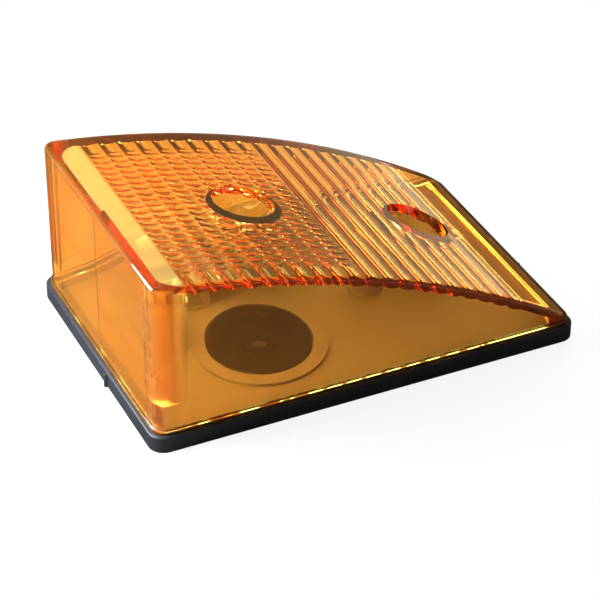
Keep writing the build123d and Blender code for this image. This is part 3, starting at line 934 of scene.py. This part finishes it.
class LAMP_OT_lens(bpy.types.Operator):
    """Amber lens with its ribs, cells and screw pockets"""

    bl_idname = "lamp.lens"
    bl_label = "Lens"

    def execute(self, context):
        lens = context.scene.lamp_lens
        optics = context.scene.lamp_optics
        material = amber_material(optics)
        maker = LensMaker(lens, optics)
        piece = maker.build(material)
        values = {
            "Centre X": maker.centre_x,
            "Centre Z": maker.centre_z,
            "First Rib": maker.first_rib,
            "Rib Step": maker.rib_step,
            "Rib Count": float(maker.rib_count),
            "Rib Depth": optics.rib_depth,
            "Cell Pitch": optics.cell_pitch,
            "Cell Count": float(maker.cell_count),
            "Cell Ribs": float(maker.cell_ribs),
            "Cell Depth": optics.cell_depth,
            "Material": material,
        }
        run_tree(piece, optics_tree(values), values)
        shade(piece.data, SHARP_DEGREES)
        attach(piece, "root")
        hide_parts("lens")
        return {"FINISHED"}


class LAMP_OT_rim(bpy.types.Operator):
    """Black rubber rim, cable grommet and screw seals"""

    bl_idname = "lamp.rim"
    bl_label = "Rubber pieces"

    def execute(self, context):
        finish = context.scene.lamp_finish
        rubber = varied(
            "rubber", finish.rubber, spread=0.25, roughness=0.42, uneven=0.08, grain=90.0, relief=0.25,
            Specular_IOR_Level=0.25,
        )
        finish_node("screw_seals", rubber)
        maker = BaseMaker(context.scene.lamp_base, context.scene.lamp_lens)
        dull = varied(
            "dull_rubber", finish.grommet, spread=0.25, roughness=0.7, uneven=0.08, grain=90.0, relief=0.25,
            Specular_IOR_Level=0.1,
        )
        for piece, node in ((maker.rim(rubber), "rim_gasket"), (maker.grommet(dull), "cable_grommet")):
            shade(piece.data, SHARP_DEGREES)
            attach(piece, "root")
            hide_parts(node)
        return {"FINISHED"}


class LAMP_OT_base(bpy.types.Operator):
    """Pale base plate"""

    bl_idname = "lamp.base"
    bl_label = "Base plate"

    def execute(self, context):
        finish = context.scene.lamp_finish
        plate = varied(
            "plate", finish.plate, spread=0.08, roughness=0.5, uneven=0.06, grain=70.0, relief=0.2,
        )
        lens = context.scene.lamp_lens
        shape = LensMaker(lens, context.scene.lamp_optics)
        screw_x = shape.tall_end + lens.low_pocket
        screw_top = shape.crown_at(screw_x) - lens.pocket_depth - lens.pocket_floor
        piece = BaseMaker(context.scene.lamp_base, lens).tray(plate, screw_x, screw_top)
        shade(piece.data, SHARP_DEGREES)
        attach(piece, "root")
        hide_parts("base_plate")
        return {"FINISHED"}


class LAMP_OT_metal(bpy.types.Operator):
    """Plated steel and brass fittings"""

    bl_idname = "lamp.metal"
    bl_label = "Metal fittings"

    def execute(self, context):
        finish = context.scene.lamp_finish
        steel = varied(
            "plated_steel", finish.steel, spread=0.08, roughness=0.32, uneven=0.1, grain=160.0, relief=0.15,
            Metallic=1.0,
        )
        brass = varied(
            "brass", finish.brass, spread=0.08, roughness=0.28, uneven=0.08, grain=160.0, relief=0.1,
            Metallic=1.0,
        )
        solder = varied(
            "solder", finish.solder, spread=0.1, roughness=0.45, uneven=0.1, grain=300.0, relief=0.3,
            Metallic=1.0,
        )
        for node in (
            "lens_screws", "bulb_bracket", "bracket_rivets", "clinch_nut", "holder_shell", "contact_spring"
        ):
            finish_node(node, steel)
        for node in ("mounting_inserts", "lens_insert", "contact_pin", "bulb_cap"):
            finish_node(node, brass)
        finish_node("bulb_contact", solder)
        return {"FINISHED"}


class LAMP_OT_bulb(bpy.types.Operator):
    """Insulators of the holder, glass and filament of the bulb"""

    bl_idname = "lamp.bulb"
    bl_label = "Bulb and insulators"

    def execute(self, context):
        finish = context.scene.lamp_finish
        board = varied(
            "board", finish.board, spread=0.2, roughness=0.55, uneven=0.1, grain=200.0, relief=0.3,
        )
        for node in ("holder_disc", "rear_bush"):
            finish_node(node, board)
        seal = varied(
            "black_glass", finish.seal, spread=0.2, roughness=0.2, uneven=0.05, grain=200.0, relief=0.1,
        )
        finish_node("bulb_seal", seal)
        wire = varied(
            "tungsten", finish.tungsten, spread=0.15, roughness=0.4, uneven=0.1, grain=600.0, relief=0.2,
            Metallic=1.0,
        )
        finish_node("bulb_filament", wire)
        glass, shader = new_material("bulb_glass", Transmission_Weight=1.0, IOR=BULB_IOR)
        place = object_place(glass.node_tree)
        feed(shader, Roughness=noise(place, BULB_SCALE) * BULB_SPREAD + BULB_GLOSS)
        finish_node("bulb_glass", glass)
        return {"FINISHED"}


def aim_at(place, target, roll=0.0):
    """Matrix of a camera or lamp at a place that looks at a target."""
    forward = (Vector(target) - Vector(place)).normalized()
    right = forward.cross(Vector((0, 0, 1))).normalized()
    up = right.cross(forward)
    turn = Matrix((right, up, -forward)).transposed() @ Matrix.Rotation(roll, 3, "Z")
    return Matrix.Translation(place) @ turn.to_4x4()


def softbox(name, place, size, power, target=(0.0, 0.0, 0.0), rgb=WHITE, mirrored=False):
    """Square area lamp, which shows in reflections only if asked."""
    light = bpy.data.lights.new(name, "AREA")
    light.shape = "RECTANGLE"
    light.size = size
    light.size_y = size
    light.energy = power
    light.color = rgb
    lamp = bpy.data.objects.new(name, light)
    lamp.matrix_world = aim_at(place, target)
    lamp.visible_glossy = mirrored
    lamp.visible_camera = False
    bpy.context.scene.collection.objects.link(lamp)


def rays(tree):
    """What is shaded: a camera ray, one through glass, a mirrored one, and how often it was scattered."""
    path = tree.nodes.new("ShaderNodeLightPath")
    names = ("Is Camera Ray", "Is Transmission Ray", "Is Glossy Ray", "Diffuse Depth")
    return [Socket(tree, path.outputs[name]) for name in names]


class LAMP_OT_stage(bpy.types.Operator):
    """Floor, backdrop, lights and camera"""

    bl_idname = "lamp.stage"
    bl_label = "Stage"
    sensor = 36.0
    nearest = 0.01
    floor_half = 3.0
    floor_colour = (0.80, 0.80, 0.80, 1.0)
    floor_roughness = 0.9
    glow_seen = 0.88
    glow_through = 0.9
    lamp_reach = 0.045
    backdrop = 0.95
    near_shine = 0.05
    far_shine = 0.9
    far_start = 0.2
    far_run = 0.3
    streak = 1.2
    streak_place = 0.42
    streak_run = 0.12
    sky_shine = 0.9
    sky_least = 0.05
    sky_fade = 0.5

    def execute(self, context):
        scene = context.scene
        stage = scene.lamp_stage
        self.floor(scene, stage)
        self.world(scene, stage)
        for key, row in SOFTBOXES.items():
            softbox(power=getattr(stage, key), **row)
        camera = bpy.data.cameras.new("camera")
        camera.lens = stage.focal
        camera.sensor_width = self.sensor
        camera.clip_start = self.nearest
        rig = bpy.data.objects.new("camera", camera)
        rig.matrix_world = aim_at(stage.eye, stage.aim, stage.roll)
        scene.collection.objects.link(rig)
        scene.camera = rig
        scene.view_settings.view_transform = "Standard"
        return {"FINISHED"}

    def floor(self, scene, stage):
        """Wide white floor. In reflections it is dark near the lamp, with a bright ring further off."""
        material, shader = new_material("floor", Roughness=self.floor_roughness, Base_Color=self.floor_colour)
        tree = material.node_tree
        seen, through, mirrored, _ = rays(tree)
        place = object_place(tree)
        measure = place.node("ShaderNodeVectorMath", place, operation="LENGTH").out.node
        distance = Socket(tree, measure.outputs["Value"])
        through = through * (distance > self.lamp_reach)
        far = seen.math("MAXIMUM", 0.0, (distance - self.far_start) / self.far_run)
        far = seen.math("MINIMUM", 1.0, far)
        off_ring = distance.math("ABSOLUTE", distance - self.streak_place)
        streak = seen.math("MAXIMUM", 0.0, 1.0 - off_ring / self.streak_run)
        shine = far * self.far_shine + streak * self.streak + self.near_shine
        glow = tree.nodes.new("ShaderNodeEmission")
        feed(
            glow,
            Color=tint(place, mirrored, WHITE, stage.warm),
            Strength=seen + through * self.backdrop + mirrored * shine,
        )
        mix_surface(tree, seen * self.glow_seen + through * self.glow_through + mirrored, shader, glow)
        mesh = bpy.data.meshes.new("floor")
        half = self.floor_half
        corners = [(-half, -half), (half, -half), (half, half), (-half, half)]
        mesh.from_pydata([(x, y, 0.0) for x, y in corners], [], [(0, 1, 2, 3)])
        mesh.materials.append(material)
        piece = bpy.data.objects.new("floor", mesh)
        scene.collection.objects.link(piece)

    def world(self, scene, stage):
        """White background, with a dimmer sky for reflections and for scattered light."""
        world = bpy.data.worlds.new("studio")
        world.use_nodes = True
        tree = world.node_tree
        sky = tree.nodes["Background"]
        seen, through, mirrored, scattered = rays(tree)
        coordinate = tree.nodes.new("ShaderNodeTexCoord")
        _, _, height = parts(Socket(tree, coordinate.outputs["Generated"]))
        fade = seen.math("MAXIMUM", 0.0, 1.0 - height / self.sky_fade)
        direct = scattered < 0.5
        reflected = mirrored * (fade * fade * self.sky_shine + self.sky_least)
        feed(
            sky,
            Color=tint(seen, mirrored, WHITE, stage.warm),
            Strength=seen + direct * (through * self.backdrop + reflected) + stage.ambient * (1.0 - direct),
        )
        scene.world = world


class LAMP_PT_panel(bpy.types.Panel):
    """Sidebar list of the lamp's pieces"""

    bl_idname = "LAMP_PT_panel"
    bl_label = "Indicator lamp"
    bl_space_type = "VIEW_3D"
    bl_region_type = "UI"
    bl_category = "Lamp"

    def draw(self, context):
        for operator in OPERATORS:
            self.layout.operator(operator.bl_idname)
        for name in SETTINGS:
            group = getattr(context.scene, name)
            box = self.layout.box()
            for key in group.__annotations__:
                box.prop(group, key)


OPERATORS = (LAMP_OT_lens, LAMP_OT_rim, LAMP_OT_base, LAMP_OT_metal, LAMP_OT_bulb, LAMP_OT_stage)
SETTINGS = {
    "lamp_lens": LensSettings,
    "lamp_optics": OpticSettings,
    "lamp_base": BaseSettings,
    "lamp_finish": FinishSettings,
    "lamp_stage": StageSettings,
}


def register():
    """Register the classes and hang the settings on the scene."""
    for group in (*SETTINGS.values(), *OPERATORS, LAMP_PT_panel):
        bpy.utils.register_class(group)
    for name, group in SETTINGS.items():
        setattr(bpy.types.Scene, name, bpy.props.PointerProperty(type=group))


def unregister():
    """Undo register."""
    for name in SETTINGS:
        delattr(bpy.types.Scene, name)
    for group in reversed((*SETTINGS.values(), *OPERATORS, LAMP_PT_panel)):
        bpy.utils.unregister_class(group)


def main():
    """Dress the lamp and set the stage."""
    register()
    bpy.ops.lamp.lens()
    bpy.ops.lamp.rim()
    bpy.ops.lamp.base()
    bpy.ops.lamp.metal()
    bpy.ops.lamp.bulb()
    bpy.ops.lamp.stage()


if __name__ == "__main__":
    main()
